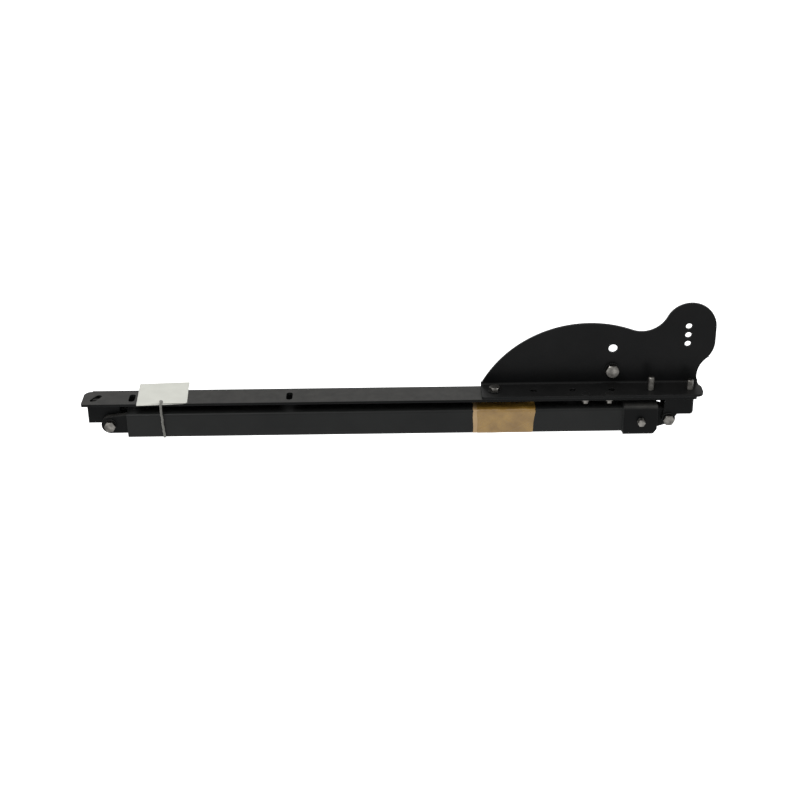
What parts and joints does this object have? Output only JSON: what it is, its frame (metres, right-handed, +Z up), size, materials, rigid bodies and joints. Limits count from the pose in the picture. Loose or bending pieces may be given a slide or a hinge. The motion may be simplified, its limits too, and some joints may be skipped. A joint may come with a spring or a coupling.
{
  "type": "gate opener arm",
  "caption": "Folding gate opener arm: curved crank plate on a railed upper arm, elbow, square-tube lower arm with a sliding extension and a swinging gate bracket.",
  "frame": {"origin": "centre of the middle operator hole, on the crank plate's front face", "axes": "+X along the arm towards the operator end, +Y through the crank plate away from the arm, +Z up from the arm to the plate's ear"},
  "size_m": [1.201, 0.1107, 0.244],
  "materials": {
    "plate_paint": "satin black powder coat",
    "arm_paint": "satin black powder coat",
    "tube_paint": "satin black powder coat",
    "zinc_fastener": "zinc plated, slightly dull",
    "bronze_bush": "oiled sintered bronze",
    "nylon": "natural nylon",
    "tag_card": "uncoated card",
    "tag_twine": "twisted twine",
    "wrap_paper": "brown paper tape, slightly glossy"
  },
  "bodies": {
    "crank_and_upper_arm": {"crank_plate": "plate_paint", "upper_arm": "arm_paint", "rear_rail": "arm_paint", "elbow_lug": "arm_paint", "elbow_bush": "bronze_bush", "flange_bolt": "zinc_fastener", "flange_washers": "plate_paint", "flange_nut": "zinc_fastener", "cover_stud": "zinc_fastener", "short_stud": "zinc_fastener", "countersunk_screws": "plate_paint", "countersunk_nuts": "zinc_fastener", "hub_bolt": "zinc_fastener", "hub_washers": "plate_paint", "hub_nut": "zinc_fastener", "hang_tag": "tag_card", "tag_string": "tag_twine"},
    "lower_arm": {"lower_tube": "tube_paint", "elbow_fork": "arm_paint", "fork_pins": "zinc_fastener", "elbow_bolt": "zinc_fastener", "elbow_washers": "arm_paint", "elbow_spacers": "nylon", "elbow_nut": "zinc_fastener", "clamp_collar": "arm_paint", "clamp_screw": "zinc_fastener", "clamp_nut": "zinc_fastener", "guide_liner": "nylon", "paper_wrap": "wrap_paper"},
    "extension": {"extension_tube": "tube_paint", "inner_glide": "nylon", "gate_tongue": "arm_paint", "tongue_bush": "bronze_bush", "tongue_pins": "zinc_fastener"},
    "gate_bracket": {"gate_spacers": "nylon", "gate_bracket": "arm_paint", "gate_bolt": "zinc_fastener", "gate_washers": "arm_paint", "gate_nut": "zinc_fastener"}
  },
  "joints": [
    {"name": "elbow_pivot", "type": "hinge", "parent": "crank_and_upper_arm", "child": "lower_arm", "pos_m": [-1.097, -0.032, -0.149], "axis": [0, 1, 0], "range_deg": [0, 135]},
    {"name": "extension_slide", "type": "slide", "parent": "lower_arm", "child": "extension", "axis": [1, 0, 0], "range_m": [0, 0.25]},
    {"name": "gate_pivot", "type": "hinge", "parent": "extension", "child": "gate_bracket", "pos_m": [-0.037, -0.032, -0.149], "axis": [0, 1, 0], "range_deg": [0, 120]}
  ]
}
